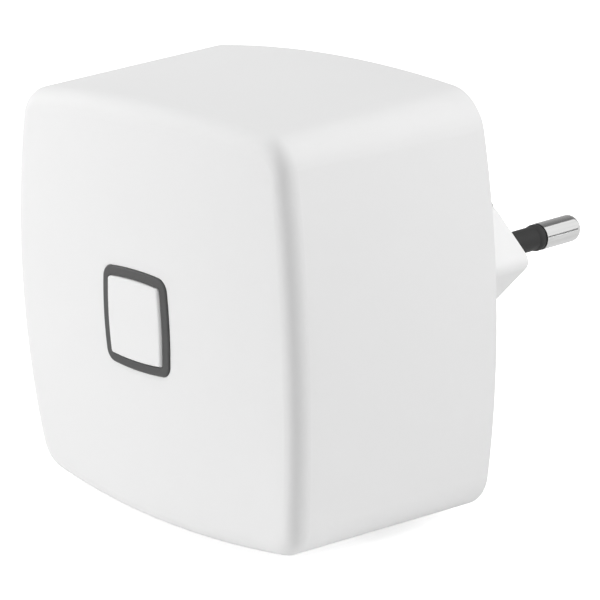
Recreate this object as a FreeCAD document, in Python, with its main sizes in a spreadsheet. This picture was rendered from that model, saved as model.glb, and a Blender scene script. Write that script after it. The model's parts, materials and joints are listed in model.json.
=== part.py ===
import FreeCAD, Part
import math
import os
import Sketcher

# Wall-plug wireless repeater: a crowned, drafted square housing with a light ring and push button
# on its front, a network socket underneath and a two-pin plug on a hexagonal stem behind.
# Millimetres. The origin is on the plug's end face, midway between the pins. The front looks
# along -Y, the pins point along +Y and +Z is up.

SIZES = {
    # Housing shell
    "face_width": 59.2,
    "face_height": 57.6,
    "body_depth": 36.0,
    "side_radius": 143.0,
    "top_radius": 203.5,
    "corner_radius": 4.8,
    "draft_angle": 2.5,
    "crown_radius_x": 237.0,
    "crown_radius_z": 312.0,
    "front_edge_radius": 2.65,
    "back_edge_bevel": 0.4,
    "wall": 2.0,
    "front_wall": 2.0,
    # How far a large and a small cutting solid reach past what they cut
    "cutter_margin": 12.0,
    "overshoot": 1.0,
    # Rear cover and plug stem
    "cover_thickness": 2.0,
    "cover_recess": 0.3,
    "cover_gap": 0.1,
    "lip_height": 3.0,
    "lip_thickness": 1.2,
    "stem_length": 20.1,
    "stem_width": 36.7,
    "stem_height": 13.7,
    "stem_flat": 22.4,
    "stem_corner_radius": 1.6,
    "stem_edge_radius": 0.5,
    "stem_wall": 2.0,
    "stem_end_wall": 3.0,
    # Snap catches between the shell and the rear cover
    "catch_width": 8.0,
    "catch_length": 1.2,
    "catch_depth": 0.6,
    "catch_gap": 0.15,
    "catch_offset": 0.6,
    # Plug pins, closer together at their tips than at the end face
    "pin_base_spacing": 18.6,
    "pin_tip_spacing": 17.5,
    "pin_length": 18.6,
    "pin_radius": 2.0,
    "pin_core_radius": 1.5,
    "pin_end_radius": 1.2,
    "pin_metal_length": 7.8,
    "pin_head_radius": 2.9,
    "pin_head_thickness": 1.2,
    "pin_head_gap": 0.1,
    "pin_tail_radius": 1.0,
    "pin_tail_length": 2.2,
    "sleeve_radius": 1.76,
    "collar_rise": 0.21,
    "collar_length": 1.4,
    "pin_gap": 0.02,
    "pin_hole_gap": 0.08,
    # Contact strips from the pins to the power board
    "strip_plate": 5.8,
    "strip_thickness": 0.5,
    "strip_width": 3.0,
    "strip_gap": 0.1,
    # Light ring
    "ring_width": 13.8,
    "ring_band": 1.22,
    "ring_side_radius": 52.0,
    "ring_corner_radius": 1.8,
    "ring_rise": 0.24,
    "ring_edge_radius": 0.2,
    "ring_gap": 0.08,
    "ring_flange_width": 1.3,
    "ring_flange_thickness": 1.0,
    "seat_gap": 0.05,
    # Push button
    "button_gap": 0.12,
    "button_rise": 0.3,
    "button_edge_radius": 0.4,
    "button_flange_width": 0.9,
    "button_flange_thickness": 0.9,
    "button_play": 0.25,
    "button_travel": 0.3,
    "button_stem_radius": 1.5,
    # Button switch
    "switch_width": 5.2,
    "switch_height": 1.6,
    "switch_corner": 0.5,
    "plunger_radius": 1.1,
    "plunger_rise": 0.6,
    "plunger_insert": 0.7,
    "plunger_gap": 0.05,
    # Light guide and indicator lamps
    "guide_wall": 1.5,
    "guide_leg_height": 1.0,
    "lamp_width": 1.4,
    "lamp_height": 0.8,
    # Main board
    "board_depth": 8.4,
    "board_thickness": 1.2,
    "board_margin": 2.9,
    "board_notch": 6.4,
    "boss_x": 21.0,
    "boss_z": 9.5,
    "boss_radius": 2.2,
    "screw_radius": 0.95,
    "screw_length": 5.0,
    "screw_head_radius": 1.9,
    "screw_head_height": 1.3,
    "screw_gap": 0.05,
    # Corner posts that carry the power board, and the cover's pegs in them
    "post_x": 21.8,
    "post_z": 21.2,
    "post_radius": 2.4,
    "peg_radius": 0.8,
    "peg_length": 3.0,
    "peg_gap": 0.1,
    # Power board
    "solder_gap": 2.4,
    "power_board_thickness": 1.6,
    "power_board_margin": 3.6,
    "power_board_chamfer": 3.0,
    # Half the width and height of the boards, and the depth between them, that the layout is for
    "layout_half_width": 25.1,
    "layout_half_height": 24.3,
    "layout_depth": 20.1,
    # Network socket
    "jack_width": 16.0,
    "jack_height": 13.4,
    "jack_length": 18.0,
    "jack_recess": 0.3,
    "jack_gap": 0.3,
    "jack_sheet": 0.3,
    "jack_fit": 0.05,
    "jack_clearance": 1.4,
    "port_width": 11.9,
    "port_height": 6.8,
    "port_depth": 13.0,
    "port_floor": 1.2,
    "latch_width": 6.2,
    "latch_height": 3.0,
    "contact_spacing": 1.02,
    "contact_width": 0.45,
    "contact_thickness": 0.3,
    "contact_length": 9.5,
    "contact_angle": 12.0,
    "contact_inset": 1.2,
    # Reset switch behind its pinhole
    "pinhole_radius": 0.8,
    "reset_x": 14.5,
    "reset_edge": 1.2,
    "reset_width": 4.4,
    "reset_height": 3.2,
    "reset_length": 3.6,
    "reset_plunger_radius": 0.7,
    "reset_plunger_rise": 1.0,
    "reset_plunger_insert": 1.0,
    "reset_travel": 0.25,
    # Vent slots in the underside
    "vent_spacing": 2.6,
    "vent_width": 1.2,
    "vent_length": 9.0,
    "vent_depth": 19.5,
    "vent_x": 12.6,
    # Board-to-board header
    "header_z": 20.8,
    "header_spacing": 2.54,
    "header_pin_width": 0.64,
    "header_body_width": 2.5,
    "header_body_height": 2.5,
    "header_socket_height": 8.5,
    "header_gap": 0.03,
    # Antenna boards
    "antenna_x": 24.2,
    "antenna_thickness": 0.8,
    "antenna_depth": 9.0,
    "antenna_length": 28.0,
    "antenna_notch": 5.0,
    # Power transformer
    "core_end": 3.0,
    "core_side": 2.0,
    "core_window_x": 3.4,
    "core_thickness": 5.2,
    "winding_gap": 0.2,
    "bobbin_flange": 1.2,
    "bobbin_wall": 0.6,
    # Insulating sheet between the boards
    "film_width": 45.0,
    "film_top": 18.0,
    "film_thickness": 0.3,
    # Heat sink fins, chip legs and thermal pad
    "fin_thickness": 0.9,
    "fin_height": 2.6,
    "leg_width": 0.4,
    "leg_length": 0.9,
    "leg_thickness": 0.25,
    "leg_foot_height": 0.4,
    "pad_thickness": 0.5,
    # Round components: bevelled ends, a drum's rims and waist, and discs on wire legs
    "component_bevel": 0.4,
    "drum_rim": 1.6,
    "drum_waist": 0.8,
    "disc_lift": 0.6,
    "disc_leg_radius": 0.3,
    "disc_leg_spacing": 5.0,
    "varistor_z": -6.8,
}

# What stands on the boards: where its middle is, its extent along X and Z, and how far it rises
PLACED = {
    "soc_chip": (-8.0, 6.0, 10.0, 10.0, 0.9),
    "heat_sink": (-8.0, 6.0, 18.0, 18.0, 3.6),
    "rf_shield": (11.6, 5.0, 13.2, 18.0, 1.8),
    "flash_chip": (-15.5, -8.2, 5.0, 4.0, 1.5),
    "crystal": (5.5, -6.6, 3.2, 2.5, 0.8),
    "network_transformer": (-14.2, -17.0, 7.0, 9.6, 2.6),
    "power_transformer": (8.0, 7.0, 16.0, 14.0, 12.5),
    "bridge_rectifier": (-14.2, -17.6, 4.7, 3.9, 2.5),
    "power_controller": (-9.0, 8.0, 4.0, 5.0, 1.6),
    "optocoupler": (12.4, 18.0, 4.6, 6.4, 2.4),
    "output_diode": (20.0, -6.5, 2.6, 4.4, 2.2),
}

# Upright round components on the power board: where the middle is, its radius and its height
ROUND = {
    "bulk_capacitor_upper": (-18.0, 14.6, 4.0, 12.0),
    "bulk_capacitor_lower": (-18.0, 3.4, 4.0, 12.0),
    "output_capacitor": (20.4, 5.6, 3.15, 11.0),
    "input_choke": (-9.0, 17.6, 3.0, 8.0),
    "fuse_resistor": (-21.6, -9.8, 1.6, 9.0),
}

# Discs that stand on edge on the power board: where the middle is, the thickness and the height
DISCS = {
    "varistor": (-14.6, 3.4, 8.0),
    "suppression_capacitor": (4.6, 3.6, 8.2),
}

CONTACT_COUNT = 8
HEADER_COUNT = 4
VENT_COUNT = 5
FIN_COUNT = 5
CHIP_LEGS = 4
TRANSFORMER_LEGS = 6

# How near two places count as one
TOUCH = 1e-4

for layout, keys in (
    (PLACED, ("x", "z", "width", "length", "height")),
    (ROUND, ("x", "z", "radius", "height")),
    (DISCS, ("x", "thickness", "height")),
):
    for name, numbers in layout.items():
        for key, number in zip(keys, numbers):
            SIZES[name + "_" + key] = number

document = FreeCAD.newDocument("wireless_repeater")
sheet = document.addObject("Spreadsheet::Sheet", "Sizes")
for row, (alias, number) in enumerate(SIZES.items(), start=1):
    sheet.set("A%d" % row, alias)
    sheet.set("B%d" % row, str(number))
    sheet.setAlias("B%d" % row, alias)
document.recompute()

# Planes that several pieces share, as expressions of the sheet
APEX = "(0 - Sizes.stem_length - Sizes.body_depth)"
COVER_OUTER = "(0 - Sizes.stem_length - Sizes.cover_recess)"
COVER_INNER = "(%s - Sizes.cover_thickness)" % COVER_OUTER
BOARD_FRONT = "(%s + Sizes.board_depth)" % APEX
BOARD_BACK = "(%s + Sizes.board_thickness)" % BOARD_FRONT
POWER_BACK = "(%s - Sizes.solder_gap)" % COVER_INNER
POWER_FRONT = "(%s - Sizes.power_board_thickness)" % POWER_BACK


def side_reach(inset, depth):
    # Half the housing's width inside an inset, at a depth behind the apex
    return "(Sizes.face_width / 2 - %s + tan(Sizes.draft_angle) * %s)" % (inset, depth)


def top_reach(inset, depth):
    return "(Sizes.face_height / 2 - %s + tan(Sizes.draft_angle) * %s)" % (inset, depth)


def inside(reach, depth, margin):
    return "(%s - %s)" % (reach("Sizes.wall", depth), margin)


POWER_DEPTH = "(%s - %s)" % (POWER_FRONT, APEX)
BOARD_HALF_X = inside(side_reach, "Sizes.board_depth", "Sizes.board_margin")
BOARD_HALF_Z = inside(top_reach, "Sizes.board_depth", "Sizes.board_margin")
POWER_HALF_X = inside(side_reach, POWER_DEPTH, "Sizes.power_board_margin")
POWER_HALF_Z = inside(top_reach, POWER_DEPTH, "Sizes.power_board_margin")

# The layout follows the boards: these are how much wider, higher and deeper than drawn it is
SCALE_X = "(%s / Sizes.layout_half_width)" % BOARD_HALF_X
SCALE_Z = "(%s / Sizes.layout_half_height)" % BOARD_HALF_Z
SCALE_Y = "((%s - %s) / Sizes.layout_depth)" % (POWER_FRONT, BOARD_BACK)
SCALE_ROUND = "min(%s; %s)" % (SCALE_X, SCALE_Z)
BOSS = "(Sizes.boss_x * %s)" % SCALE_X, "(Sizes.boss_z * %s)" % SCALE_Z
POST = "(Sizes.post_x * %s)" % SCALE_X, "(Sizes.post_z * %s)" % SCALE_Z
JACK_MOUTH = "(0 - Sizes.face_height / 2 + Sizes.jack_recess)"
JACK_TOP = "(%s + Sizes.jack_length)" % JACK_MOUTH

finished = []


def value(expression):
    return float(sheet.evalExpression(expression))


def finish(piece, label):
    piece.Label = label
    finished.append(piece)
    return piece


# Sketches and features


def new_body(name):
    return document.addObject("PartDesign::Body", name)


def sketch_on(body, role, offset="0"):
    sketch = body.newObject("Sketcher::SketchObject", "Sketch")
    plane = next(item for item in body.Origin.OriginFeatures if item.Role == role)
    sketch.AttachmentSupport = [(plane, "")]
    sketch.MapMode = "FlatFace"
    sketch.setExpression("AttachmentOffset.Base.z", offset)
    return sketch


def front_sketch(body, y):
    # Seen from the front: sketch x is X, sketch y is Z, and its normal is -Y
    return sketch_on(body, "XZ_Plane", "0 - %s" % y)


def dimension(sketch, kind, references, expression):
    index = sketch.addConstraint(Sketcher.Constraint(kind, *references, value(expression)))
    sketch.setExpression("Constraints[%d]" % index, expression)


def bulging_arc(start, end, radius):
    # Anticlockwise from start to end
    chord = end - start
    middle = (start + end) * 0.5
    inwards = FreeCAD.Vector(-chord.y, chord.x, 0).normalize()
    centre = middle + inwards * math.sqrt(radius**2 - (chord.Length / 2) ** 2)
    angles = [math.atan2(point.y - centre.y, point.x - centre.x) for point in (start, end)]
    return Part.ArcOfCircle(Part.Circle(centre, FreeCAD.Vector(0, 0, 1), radius), *angles)


def polygon(sketch, corners, arcs=None):
    # arcs holds the radius of each side that bulges outwards, by the number of its first corner
    first = sketch.GeometryCount
    arcs = arcs or {}
    points = [FreeCAD.Vector(value(x), value(y), 0) for x, y in corners]
    count = len(corners)
    for index in range(count):
        start, end = points[index], points[(index + 1) % count]
        if index in arcs:
            sketch.addGeometry(bulging_arc(start, end, value(arcs[index])))
        else:
            sketch.addGeometry(Part.LineSegment(start, end))
    for index in range(count):
        following = first + (index + 1) % count
        sketch.addConstraint(Sketcher.Constraint("Coincident", first + index, 2, following, 1))
    for index, (x, y) in enumerate(corners):
        dimension(sketch, "DistanceX", (-1, 1, first + index, 1), x)
        dimension(sketch, "DistanceY", (-1, 1, first + index, 1), y)
    for index, radius in arcs.items():
        dimension(sketch, "Radius", (first + index,), radius)


def rectangle(sketch, x, z, width, height):
    low_x, high_x = ("%s %s (%s) / 2" % (x, sign, width) for sign in "-+")
    low_z, high_z = ("%s %s (%s) / 2" % (z, sign, height) for sign in "-+")
    polygon(sketch, [(low_x, low_z), (high_x, low_z), (high_x, high_z), (low_x, high_z)])


def circle(sketch, x, z, radius):
    centre = FreeCAD.Vector(value(x), value(z), 0)
    index = sketch.addGeometry(Part.Circle(centre, FreeCAD.Vector(0, 0, 1), value(radius)))
    dimension(sketch, "DistanceX", (-1, 1, index, 3), x)
    dimension(sketch, "DistanceY", (-1, 1, index, 3), z)
    dimension(sketch, "Radius", (index,), radius)


def cushion(sketch, half_width, half_height, side_radius, top_radius, corner_radius):
    # A closed outline of four shallow arcs joined by four tangent corner arcs
    across, up = value(half_width), value(half_height)
    side, top, corner = value(side_radius), value(top_radius), value(corner_radius)
    side_x, top_z = across - side, up - top
    gap_x, gap_z = -side_x, top_z
    span = math.hypot(gap_x, gap_z)
    reach_side, reach_top = side - corner, top - corner
    along = (reach_side**2 - reach_top**2 + span**2) / (2 * span)
    away = math.sqrt(reach_side**2 - along**2)
    corner_x = side_x + (gap_x * along - gap_z * away) / span
    corner_z = (gap_z * along + gap_x * away) / span
    if corner_x < 0:
        corner_x = side_x + (gap_x * along + gap_z * away) / span
        corner_z = (gap_z * along - gap_x * away) / span
    turn = math.atan2(corner_z, corner_x - side_x)
    crest = math.atan2(corner_z - top_z, corner_x)
    half, full = math.pi, 2 * math.pi
    arcs = [
        (side_x, 0, side, -turn, turn),
        (corner_x, corner_z, corner, turn, crest),
        (0, top_z, top, crest, half - crest),
        (-corner_x, corner_z, corner, half - crest, half - turn),
        (-side_x, 0, side, half - turn, half + turn),
        (-corner_x, -corner_z, corner, half + turn, half + crest),
        (0, -top_z, top, half + crest, full - crest),
        (corner_x, -corner_z, corner, full - crest, full - turn),
    ]
    first = sketch.GeometryCount
    for x, z, radius, start, end in arcs:
        round_edge = Part.Circle(FreeCAD.Vector(x, z, 0), FreeCAD.Vector(0, 0, 1), radius)
        sketch.addGeometry(Part.ArcOfCircle(round_edge, start, end))
    right, upper, left, lower = first, first + 2, first + 4, first + 6
    for index in range(8):
        following = first + (index + 1) % 8
        sketch.addConstraint(Sketcher.Constraint("Tangent", first + index, 2, following, 1))
    for side_arc in (right, left):
        sketch.addConstraint(Sketcher.Constraint("PointOnObject", side_arc, 3, -1))
        dimension(sketch, "Radius", (side_arc,), side_radius)
    for top_arc in (upper, lower):
        sketch.addConstraint(Sketcher.Constraint("PointOnObject", top_arc, 3, -2))
        dimension(sketch, "Radius", (top_arc,), top_radius)
    for corner_arc in range(first + 1, first + 8, 2):
        dimension(sketch, "Radius", (corner_arc,), corner_radius)
    dimension(sketch, "DistanceX", (-1, 1, right, 3), "%s - %s" % (half_width, side_radius))
    dimension(sketch, "DistanceX", (-1, 1, left, 3), "%s - %s" % (side_radius, half_width))
    dimension(sketch, "DistanceY", (-1, 1, upper, 3), "%s - %s" % (half_height, top_radius))
    dimension(sketch, "DistanceY", (-1, 1, lower, 3), "%s - %s" % (top_radius, half_height))


def housing_outline(sketch, inset):
    cushion(
        sketch,
        "(Sizes.face_width / 2 - %s)" % inset,
        "(Sizes.face_height / 2 - %s)" % inset,
        "(Sizes.side_radius - %s)" % inset,
        "(Sizes.top_radius - %s)" % inset,
        "(Sizes.corner_radius - %s)" % inset,
    )


def ring_outline(sketch, inset, corner="Sizes.ring_corner_radius"):
    cushion(
        sketch,
        "(Sizes.ring_width / 2 - %s)" % inset,
        "(Sizes.ring_width / 2 - %s)" % inset,
        "(Sizes.ring_side_radius - %s)" % inset,
        "(Sizes.ring_side_radius - %s)" % inset,
        "(%s - %s)" % (corner, inset),
    )


def feature(body, kind, sketch, length, backwards, taper=None):
    made = body.newObject("PartDesign::" + kind, kind)
    made.Profile = sketch
    made.setExpression("Length", length)
    made.Reversed = backwards
    if taper:
        made.setExpression("TaperAngle", taper)
    document.recompute()
    return made


def pad_back(body, sketch, length, taper=None):
    # From the sketch towards +Y
    return feature(body, "Pad", sketch, length, True, taper)


def pocket(body, sketch, length, towards_front=False):
    # Cuts from the sketch towards +Y, or towards the front
    before = body.Shape.Volume
    made = feature(body, "Pocket", sketch, length, towards_front)
    if body.Shape.Volume >= before:
        raise RuntimeError("a pocket of %s cuts nothing" % body.Name)
    return made


def crown_cut(body, apex, radius_x, radius_z):
    # Takes away what lies in front of a surface crowned by one radius across and another upwards
    reach = "(Sizes.face_width / 2 + Sizes.cutter_margin)"
    rise = "(Sizes.face_height / 2 + Sizes.cutter_margin)"
    sketch = sketch_on(body, "XY_Plane")
    radius, half = value(radius_x), value(reach)
    middle_y, front_y = value(apex) + radius, value("%s - Sizes.cutter_margin" % apex)
    edge_y = middle_y - math.sqrt(radius**2 - half**2)
    lean = math.asin(half / radius)
    bow = Part.Circle(FreeCAD.Vector(0, middle_y, 0), FreeCAD.Vector(0, 0, 1), radius)
    sketch.addGeometry(Part.ArcOfCircle(bow, 1.5 * math.pi - lean, 1.5 * math.pi + lean))
    corners = [(half, edge_y), (half, front_y), (-half, front_y), (-half, edge_y)]
    points = [FreeCAD.Vector(x, y, 0) for x, y in corners]
    for start, end in zip(points, points[1:]):
        sketch.addGeometry(Part.LineSegment(start, end))
    for index in range(4):
        sketch.addConstraint(Sketcher.Constraint("Coincident", index, 2, (index + 1) % 4, 1))
    sketch.addConstraint(Sketcher.Constraint("PointOnObject", 0, 3, -2))
    sketch.addConstraint(Sketcher.Constraint("Vertical", 1))
    sketch.addConstraint(Sketcher.Constraint("Horizontal", 2))
    sketch.addConstraint(Sketcher.Constraint("Vertical", 3))
    dimension(sketch, "Radius", (0,), radius_x)
    dimension(sketch, "DistanceY", (-1, 1, 0, 3), "%s + %s" % (apex, radius_x))
    dimension(sketch, "DistanceX", (-1, 1, 1, 1), reach)
    dimension(sketch, "DistanceX", (-1, 1, 3, 1), "0 - " + reach)
    dimension(sketch, "DistanceY", (-1, 1, 2, 1), "%s - Sizes.cutter_margin" % apex)
    axis_y = value("%s + %s" % (apex, radius_z))
    ends = [FreeCAD.Vector(x, axis_y, 0) for x in (-half, half)]
    axis = sketch.addGeometry(Part.LineSegment(*ends), True)
    sketch.addConstraint(Sketcher.Constraint("Horizontal", axis))
    dimension(sketch, "DistanceY", (-1, 1, axis, 1), "%s + %s" % (apex, radius_z))
    dimension(sketch, "DistanceX", (-1, 1, axis, 1), "0 - " + reach)
    dimension(sketch, "DistanceX", (-1, 1, axis, 2), reach)
    groove = body.newObject("PartDesign::Groove", "Crown")
    groove.Profile = sketch
    groove.ReferenceAxis = (sketch, ["Axis0"])
    groove.Midplane = True
    groove.setExpression("Angle", "2 * asin(%s / %s)" % (rise, radius_z))
    before = body.Shape.Volume
    document.recompute()
    if body.Shape.Volume >= before:
        raise RuntimeError("the crown of %s cuts nothing" % body.Name)
    return groove


def crown_drop(x, z):
    # How far the front has fallen away from its apex at a place
    return "((%s)^2 / 2 / Sizes.crown_radius_x + (%s)^2 / 2 / Sizes.crown_radius_z)" % (x, z)


def front_face_edges(shape):
    face = min(shape.Faces, key=lambda item: item.CenterOfMass.y)
    return [
        "Edge%d" % (index + 1)
        for index, edge in enumerate(shape.Edges)
        if any(edge.isSame(other) for other in face.Edges)
    ]


def edges_where(shape, wanted):
    return ["Edge%d" % (index + 1) for index, edge in enumerate(shape.Edges) if wanted(edge)]


def round_edges(body, base, names, radius):
    fillet = body.newObject("PartDesign::Fillet", "Fillet")
    fillet.Base = (base, names)
    fillet.setExpression("Radius", radius)
    document.recompute()
    return fillet


def bevel_edges(body, base, names, size):
    chamfer = body.newObject("PartDesign::Chamfer", "Chamfer")
    chamfer.Base = (base, names)
    chamfer.setExpression("Size", size)
    document.recompute()
    return chamfer


# Solids and booleans


def place(piece, x, y, z):
    for axis, expression in zip("xyz", (x, y, z)):
        piece.setExpression("Placement.Base." + axis, expression)


def block(name, low, size):
    made = document.addObject("Part::Box", name)
    for key, expression in zip(("Length", "Width", "Height"), size):
        made.setExpression(key, expression)
    place(made, *low)
    return made


def centred_block(name, x, z, width, length, y, height):
    low = ("%s - (%s) / 2" % (x, width), y, "%s - (%s) / 2" % (z, length))
    return block(name, low, (width, height, length))


AXIS_TURN = {
    "X": FreeCAD.Rotation(FreeCAD.Vector(0, 1, 0), 90),
    "Y": FreeCAD.Rotation(FreeCAD.Vector(1, 0, 0), -90),
    "Z": FreeCAD.Rotation(),
}


def rod(name, axis, start, radius, length):
    made = document.addObject("Part::Cylinder", name)
    made.setExpression("Radius", radius)
    made.setExpression("Height", length)
    made.Placement = FreeCAD.Placement(FreeCAD.Vector(), AXIS_TURN[axis])
    place(made, *start)
    return made


def joined(kind, name, pieces):
    made = document.addObject("Part::" + kind, name)
    if kind == "Compound":
        made.Links = pieces
    else:
        made.Shapes = pieces
    return made


def fused(name, pieces):
    return joined("MultiFuse", name, pieces)


def grouped(name, pieces):
    return joined("Compound", name, pieces)


def cut(name, base, tools):
    made = document.addObject("Part::Cut", name)
    made.Base = base
    made.Tool = tools[0] if len(tools) == 1 else fused(name + "_tools", tools)
    return made


def mirrored_signs():
    return [(sign_x, sign_z) for sign_x in (1, -1) for sign_z in (1, -1)]


def signed(sign, expression):
    return "(%d * %s)" % (sign, expression)


def past(length, ends=1):
    # A cutter's length, reaching past one end or both
    return "(%s + %d * Sizes.overshoot)" % (length, ends)


def ahead(start):
    return "(%s - Sizes.overshoot)" % start


# Housing


def cushion_block(name, inset, front, length):
    # The housing's form, made smaller all round by the inset, from its front apex to the back
    body = new_body(name)
    sketch = front_sketch(body, APEX)
    housing_outline(sketch, inset)
    pad_back(body, sketch, length, "Sizes.draft_angle")
    apex = "(%s + %s)" % (APEX, front)
    crown_cut(
        body, apex, "(Sizes.crown_radius_x - %s)" % front, "(Sizes.crown_radius_z - %s)" % front
    )
    return body


def catch_blocks(name, grow, inset, wall_side):
    # Four small bars, one in the middle of each side, just ahead of the cover's lip edge
    y = "(%s - Sizes.lip_height + Sizes.catch_offset - %s)" % (COVER_INNER, grow)
    depth = "(%s - %s)" % (y, APEX)
    length = "(Sizes.catch_length + 2 * %s)" % grow
    width = "(Sizes.catch_width + 2 * %s)" % grow
    height = "(Sizes.catch_depth + %s + %s)" % (grow, wall_side)
    blocks = []
    for sign in (1, -1):
        reach = "(%s - %s + %s / 2)" % (side_reach(inset, depth), wall_side, height)
        x = signed(sign, reach)
        blocks.append(centred_block(name, x, "0", height, width, y, length))
        reach = "(%s - %s + %s / 2)" % (top_reach(inset, depth), wall_side, height)
        z = signed(sign, reach)
        blocks.append(centred_block(name, "0", z, width, height, y, length))
    return blocks


def board_posts():
    # Bosses for the main board's screws and taller corner posts for the power board
    posts, holes = [], []
    wall_middle = "Sizes.front_wall / 2"
    for sign_x, sign_z in mirrored_signs():
        x, z = signed(sign_x, BOSS[0]), signed(sign_z, BOSS[1])
        start = "(%s + %s + %s)" % (APEX, crown_drop(x, z), wall_middle)
        length = "%s - %s" % (BOARD_FRONT, start)
        posts.append(rod("boss", "Y", (x, start, z), "Sizes.boss_radius", length))
        depth = "(Sizes.screw_length - Sizes.board_thickness + Sizes.screw_gap)"
        hole_start = "%s - %s" % (BOARD_FRONT, depth)
        hole_radius = "Sizes.screw_radius + Sizes.screw_gap"
        holes.append(rod("boss_hole", "Y", (x, hole_start, z), hole_radius, past(depth)))
        x, z = signed(sign_x, POST[0]), signed(sign_z, POST[1])
        start = "(%s + %s + %s)" % (APEX, crown_drop(x, z), wall_middle)
        length = "%s - %s" % (POWER_FRONT, start)
        posts.append(rod("post", "Y", (x, start, z), "Sizes.post_radius", length))
        depth = "(Sizes.peg_length + Sizes.peg_gap)"
        hole_start = "%s - %s" % (POWER_FRONT, depth)
        hole_radius = "Sizes.peg_radius + Sizes.peg_gap"
        holes.append(rod("post_hole", "Y", (x, hole_start, z), hole_radius, past(depth)))
    return posts, holes


def underside_cuts():
    # Window of the network socket, reset pinhole and two rows of vent slots
    bottom = "(0 - %s)" % top_reach("0", "Sizes.body_depth")
    low = "(%s - Sizes.cutter_margin)" % bottom
    height = "(Sizes.cutter_margin + 2 * Sizes.wall + Sizes.overshoot)"
    window = block(
        "window",
        (
            "0 - Sizes.jack_width / 2 - Sizes.jack_gap",
            "%s - Sizes.jack_gap" % BOARD_BACK,
            low,
        ),
        (
            "Sizes.jack_width + 2 * Sizes.jack_gap",
            "Sizes.jack_height + 2 * Sizes.jack_gap",
            height,
        ),
    )
    y = "%s + Sizes.reset_height / 2" % BOARD_BACK
    cuts = [window, rod("pinhole", "Z", ("Sizes.reset_x", y, low), "Sizes.pinhole_radius", height)]
    for sign in (1, -1):
        for number in range(VENT_COUNT):
            across = "(Sizes.vent_x + %d * Sizes.vent_spacing)" % number
            x = "%s - Sizes.vent_width / 2" % signed(sign, across)
            size = ("Sizes.vent_width", "Sizes.vent_length", height)
            cuts.append(block("vent", (x, "%s + Sizes.vent_depth" % APEX, low), size))
    return cuts


def front_housing():
    outer = cushion_block("outer", "0", "0", "Sizes.body_depth")
    round_edges(outer, outer.Tip, front_face_edges(outer.Tip.Shape), "Sizes.front_edge_radius")
    back = value("0 - Sizes.stem_length")
    rim = edges_where(outer.Tip.Shape, lambda edge: abs(edge.BoundBox.YMin - back) < TOUCH)
    bevel_edges(outer, outer.Tip, rim, "Sizes.back_edge_bevel")
    through = "Sizes.body_depth + Sizes.cutter_margin"
    inner = cushion_block("inner", "Sizes.wall", "Sizes.front_wall", through)
    shell = cut("shell", outer, [inner])
    posts, holes = board_posts()
    hole = new_body("ring_hole")
    sketch = front_sketch(hole, "(%s - Sizes.cutter_margin)" % APEX)
    ring_outline(sketch, "(0 - Sizes.ring_gap)")
    pad_back(hole, sketch, "2 * Sizes.cutter_margin - Sizes.overshoot")
    pockets = catch_blocks("catch_pocket", "Sizes.catch_gap", "Sizes.wall", "Sizes.overshoot")
    tools = [hole] + holes + underside_cuts() + pockets
    body = cut("housing", fused("shell_with_posts", [shell] + posts), tools)
    return finish(body, "front_housing")


# Rear cover with its plug stem


def hexagon(sketch, inset):
    side = "atan(Sizes.stem_height / (Sizes.stem_width - Sizes.stem_flat))"
    tip = "(Sizes.stem_width / 2 - %s / sin(%s))" % (inset, side)
    flat = "(Sizes.stem_flat / 2 - %s * tan(%s / 2))" % (inset, side)
    high = "(Sizes.stem_height / 2 - %s)" % inset
    left_tip, left, low = "0 - " + tip, "0 - " + flat, "0 - " + high
    upper, lower = [(flat, high), (left, high)], [(left, low), (flat, low)]
    polygon(sketch, [(tip, "0")] + upper + [(left_tip, "0")] + lower)


def along_y(edge):
    return edge.BoundBox.XLength < TOUCH and edge.BoundBox.ZLength < TOUCH


def pin_place(piece, sign):
    # Stands on the end face at the pins' base spacing and leans towards the other pin
    lean = "atan((Sizes.pin_base_spacing - Sizes.pin_tip_spacing) / 2 / Sizes.pin_length)"
    piece.Placement = FreeCAD.Placement(
        FreeCAD.Vector(), FreeCAD.Rotation(FreeCAD.Vector(0, 0, sign), 1)
    )
    place(piece, signed(sign, "Sizes.pin_base_spacing / 2"), "0", "0")
    piece.setExpression("Placement.Rotation.Angle", lean)


def turned(name, profile, arcs=None):
    # A round piece about the Y axis, from its profile of radius and Y
    body = new_body(name)
    sketch = sketch_on(body, "XY_Plane")
    polygon(sketch, profile, arcs)
    turn = body.newObject("PartDesign::Revolution", "Revolution")
    turn.Profile = sketch
    turn.ReferenceAxis = (sketch, ["V_Axis"])
    turn.Angle = 360
    document.recompute()
    return body


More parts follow.
